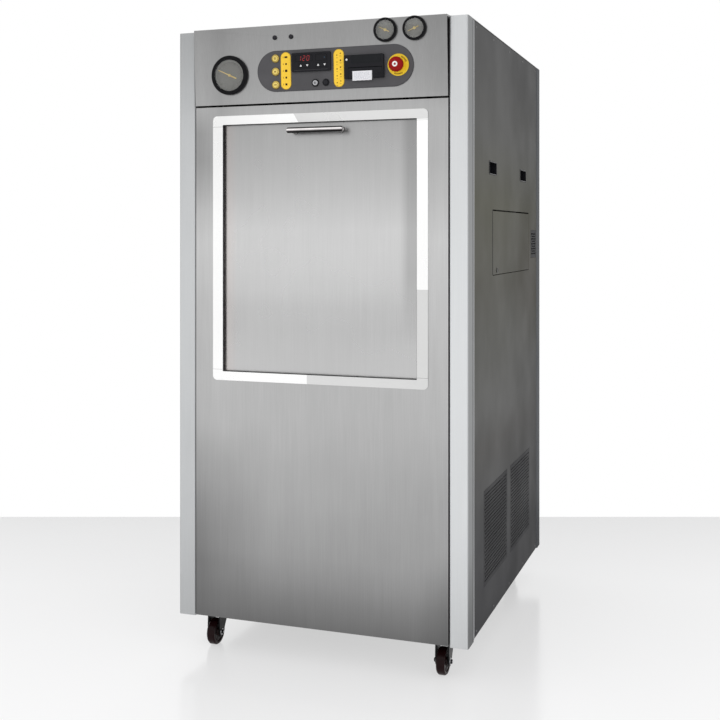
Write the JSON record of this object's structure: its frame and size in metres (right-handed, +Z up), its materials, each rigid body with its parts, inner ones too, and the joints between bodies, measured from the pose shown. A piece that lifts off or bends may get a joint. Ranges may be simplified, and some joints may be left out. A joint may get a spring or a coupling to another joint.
{
  "type": "steam steriliser",
  "caption": "Floor-standing front-loading steam steriliser on castors, with a vertically sliding chamber door, sloping control fascia, gauges, printer and emergency stop.",
  "frame": {"origin": "bottom centre of the bounding box: midway between the side columns, midway between the emergency stop's face and the rear pipe stubs, on the floor under the castors", "axes": "+Z up, the door and controls face -Y, +X is to the right of a person facing the door"},
  "size_m": [0.866, 1.144, 1.8003],
  "materials": {
    "stainless_front": "vertical brushed stainless, fine grain",
    "stainless_side": "dark satin stainless, fine vertical grain",
    "door_steel": "polished brushed stainless, vertical grain",
    "column_silver": "satin anodised extrusion",
    "trim_white": "smooth off-white powder coat",
    "plate_grey": "fine textured dark grey coat",
    "overlay_yellow": "satin printed overlay film",
    "button_yellow": "glossy moulded cap",
    "panel_black": "fine spark-eroded black moulding",
    "gauge_black": "satin black enamel case",
    "needle_yellow": "matt yellow pointer",
    "clear_glass": "flat clear instrument glass",
    "lamp_dark": "smoked lens, unlit",
    "estop_yellow": "moulded yellow disc",
    "estop_red": "glossy red mushroom head",
    "key_chrome": "turned and plated",
    "paper_white": "thermal paper",
    "castor_black": "black e-coat with slight orange peel",
    "wheel_maroon": "solid maroon rubber tread, slightly scuffed",
    "frame_dark": "dark grey powder coat",
    "handle_steel": "polished stainless rod",
    "vessel_steel": "satin stainless, welded",
    "gasket_red": "silicone rubber",
    "insulation_foil": "mineral wool under foil cloth",
    "motor_blue": "painted cast housing",
    "shaft_steel": "ground shaft, machined sprockets",
    "chain_steel": "oiled roller chain",
    "weight_iron": "cast block, bare oiled",
    "boiler_steel": "satin stainless boiler",
    "box_grey": "grey powder coated enclosure",
    "pipe_copper": "bright copper tube and brass fittings"
  },
  "bodies": {
    "cabinet": {"chassis": "frame_dark", "corner_columns": "column_silver", "side_panel_left": "stainless_side", "side_panel_right": "stainless_side", "top_panel": "stainless_front", "rear_panel": "stainless_side", "front_panel": "stainless_front", "door_trim": "trim_white", "control_fascia": "stainless_front", "vent_grilles": "stainless_side", "grip_cups": "panel_black", "control_plate": "plate_grey", "indicator_strips": "overlay_yellow", "display_unit": "panel_black", "switch_bezels": "panel_black", "printer_body": "panel_black", "estop_base": "estop_yellow", "gauge_cases": "gauge_black", "gauge_glasses": "clear_glass", "indicator_lamps": "lamp_dark", "castor_plates": "castor_black", "door_rails": "frame_dark", "gear_motor": "motor_blue", "door_chains": "chain_steel", "pressure_vessel": "vessel_steel", "door_gasket": "gasket_red", "insulation_jacket": "insulation_foil", "steam_generator": "boiler_steel", "electrical_box": "box_grey", "pipework": "pipe_copper"},
    "door": {"sliding_door": "door_steel", "door_handle": "handle_steel"},
    "flap": {"access_flap": "stainless_side"},
    "flap_lock": {"flap_lock": "key_chrome"},
    "start_button": {"start_button": "button_yellow"},
    "stop_button": {"stop_button": "button_yellow"},
    "door_button": {"door_button": "button_yellow"},
    "rocker_left": {"display_rocker_left": "panel_black"},
    "rocker_right": {"display_rocker_right": "panel_black"},
    "key_barrel": {"key_barrel": "key_chrome"},
    "reset_button": {"reset_button": "lamp_dark"},
    "printer_door": {"printer_door": "panel_black", "paper_strip": "paper_white"},
    "estop_plunger": {"estop_plunger": "panel_black"},
    "estop_head": {"estop_head": "estop_red"},
    "jacket_needle": {"jacket_needle": "needle_yellow"},
    "chamber_needle": {"chamber_needle": "needle_yellow"},
    "steam_needle": {"steam_needle": "needle_yellow"},
    "drive_shaft": {"drive_shaft": "shaft_steel"},
    "idler_shaft": {"idler_shaft": "shaft_steel"},
    "counterweights": {"counterweights": "weight_iron"},
    "shelf": {"chamber_shelf": "vessel_steel"},
    "castor_fork_fl": {"castor_fork_fl": "castor_black"},
    "castor_wheel_fl": {"castor_wheel_fl": "wheel_maroon"},
    "castor_fork_fr": {"castor_fork_fr": "castor_black"},
    "castor_wheel_fr": {"castor_wheel_fr": "wheel_maroon"},
    "castor_fork_rl": {"castor_fork_rl": "castor_black"},
    "castor_wheel_rl": {"castor_wheel_rl": "wheel_maroon"},
    "castor_fork_rr": {"castor_fork_rr": "castor_black"},
    "castor_wheel_rr": {"castor_wheel_rr": "wheel_maroon"}
  },
  "joints": [
    {"name": "door_slide", "type": "slide", "parent": "cabinet", "child": "door", "axis": [0, 0, -1], "range_m": [0, 0.655]},
    {"name": "counterweight_slide", "type": "slide", "parent": "cabinet", "child": "counterweights", "axis": [0, 0, 1], "range_m": [0, 0.655]},
    {"name": "drive_shaft_turn", "type": "hinge", "parent": "cabinet", "child": "drive_shaft", "pos_m": [0, -0.43303, 1.6], "axis": [1, 0, 0], "range_deg": [0, 1088.3]},
    {"name": "idler_shaft_turn", "type": "hinge", "parent": "cabinet", "child": "idler_shaft", "pos_m": [0, -0.43303, 0.188], "axis": [1, 0, 0], "range_deg": [0, 1088.3]},
    {"name": "shelf_slide", "type": "slide", "parent": "cabinet", "child": "shelf", "axis": [0, -1, 0], "range_m": [0, 0.025]},
    {"name": "flap_hinge", "type": "hinge", "parent": "cabinet", "child": "flap", "pos_m": [0.4254, 0.05997, 1.274], "axis": [0, -1, 0], "range_deg": [0, 95]},
    {"name": "flap_lock_turn", "type": "hinge", "parent": "flap", "child": "flap_lock", "pos_m": [0.425, -0.15903, 1.101], "axis": [-1, 0, 0], "range_deg": [0, 90]},
    {"name": "start_button_press", "type": "slide", "parent": "cabinet", "child": "start_button", "axis": [0, 0.9988, 0.0489], "range_m": [0, 0.003], "stiffness_N_per_m": 600},
    {"name": "stop_button_press", "type": "slide", "parent": "cabinet", "child": "stop_button", "axis": [0, 0.9988, 0.0489], "range_m": [0, 0.003], "stiffness_N_per_m": 600},
    {"name": "door_button_press", "type": "slide", "parent": "cabinet", "child": "door_button", "axis": [0, 0.9988, 0.0489], "range_m": [0, 0.003], "stiffness_N_per_m": 600},
    {"name": "reset_button_press", "type": "slide", "parent": "cabinet", "child": "reset_button", "axis": [0, 0.9988, 0.0489], "range_m": [0, 0.0025], "stiffness_N_per_m": 600},
    {"name": "rocker_left_tilt", "type": "hinge", "parent": "cabinet", "child": "rocker_left", "pos_m": [-0.0325, -0.54291, 1.67954], "axis": [0, -0.0489, 0.9988], "range_deg": [-3, 3], "stiffness_Nm_per_rad": 0.05},
    {"name": "rocker_right_tilt", "type": "hinge", "parent": "cabinet", "child": "rocker_right", "pos_m": [0.0195, -0.54291, 1.67954], "axis": [0, -0.0489, 0.9988], "range_deg": [-3, 3], "stiffness_Nm_per_rad": 0.05},
    {"name": "key_turn", "type": "hinge", "parent": "cabinet", "child": "key_barrel", "pos_m": [-0.0015, -0.53352, 1.63094], "axis": [0, -0.9988, -0.0489], "range_deg": [-90, 0]},
    {"name": "printer_door_open", "type": "hinge", "parent": "cabinet", "child": "printer_door", "pos_m": [0.148, -0.54354, 1.66379], "axis": [-1, 0, 0], "range_deg": [0, 80]},
    {"name": "estop_press", "type": "slide", "parent": "cabinet", "child": "estop_plunger", "axis": [0, 0.9988, 0.0489], "range_m": [0, 0.0035], "stiffness_N_per_m": 2000},
    {"name": "estop_twist", "type": "hinge", "parent": "estop_plunger", "child": "estop_head", "pos_m": [0.241, -0.55535, 1.66792], "axis": [0, 0.9988, 0.0489], "range_deg": [0, 45], "stiffness_Nm_per_rad": 0.2},
    {"name": "jacket_needle_swing", "type": "hinge", "parent": "cabinet", "child": "jacket_needle", "pos_m": [-0.265, -0.53913, 1.6637], "axis": [0, 0.9988, 0.0489], "range_deg": [-70, 200], "stiffness_Nm_per_rad": 0.003},
    {"name": "chamber_needle_swing", "type": "hinge", "parent": "cabinet", "child": "chamber_needle", "pos_m": [0.205, -0.54409, 1.76508], "axis": [0, 0.9988, 0.0489], "range_deg": [-71, 199], "stiffness_Nm_per_rad": 0.003},
    {"name": "steam_needle_swing", "type": "hinge", "parent": "cabinet", "child": "steam_needle", "pos_m": [0.288, -0.54409, 1.76508], "axis": [0, 0.9988, 0.0489], "range_deg": [-23, 247], "stiffness_Nm_per_rad": 0.003},
    {"name": "castor_swivel_fl", "type": "hinge", "parent": "cabinet", "child": "castor_fork_fl", "pos_m": [-0.347, -0.43503, 0.087], "axis": [0, 0, 1], "continuous": true},
    {"name": "castor_roll_fl", "type": "hinge", "parent": "castor_fork_fl", "child": "castor_wheel_fl", "pos_m": [-0.347, -0.46303, 0.0375], "axis": [1, 0, 0], "continuous": true},
    {"name": "castor_swivel_fr", "type": "hinge", "parent": "cabinet", "child": "castor_fork_fr", "pos_m": [0.347, -0.43503, 0.087], "axis": [0, 0, 1], "continuous": true},
    {"name": "castor_roll_fr", "type": "hinge", "parent": "castor_fork_fr", "child": "castor_wheel_fr", "pos_m": [0.347, -0.46303, 0.0375], "axis": [1, 0, 0], "continuous": true},
    {"name": "castor_swivel_rl", "type": "hinge", "parent": "cabinet", "child": "castor_fork_rl", "pos_m": [-0.347, 0.46897, 0.087], "axis": [0, 0, 1], "continuous": true},
    {"name": "castor_roll_rl", "type": "hinge", "parent": "castor_fork_rl", "child": "castor_wheel_rl", "pos_m": [-0.347, 0.44097, 0.0375], "axis": [1, 0, 0], "continuous": true},
    {"name": "castor_swivel_rr", "type": "hinge", "parent": "cabinet", "child": "castor_fork_rr", "pos_m": [0.347, 0.46897, 0.087], "axis": [0, 0, 1], "continuous": true},
    {"name": "castor_roll_rr", "type": "hinge", "parent": "castor_fork_rr", "child": "castor_wheel_rr", "pos_m": [0.347, 0.44097, 0.0375], "axis": [1, 0, 0], "continuous": true}
  ],
  "couplings": [
    {"joint": "counterweight_slide", "follows": "door_slide", "ratio": 1},
    {"joint": "drive_shaft_turn", "follows": "door_slide", "rad_per_m": 28.985},
    {"joint": "idler_shaft_turn", "follows": "door_slide", "rad_per_m": 28.985}
  ]
}
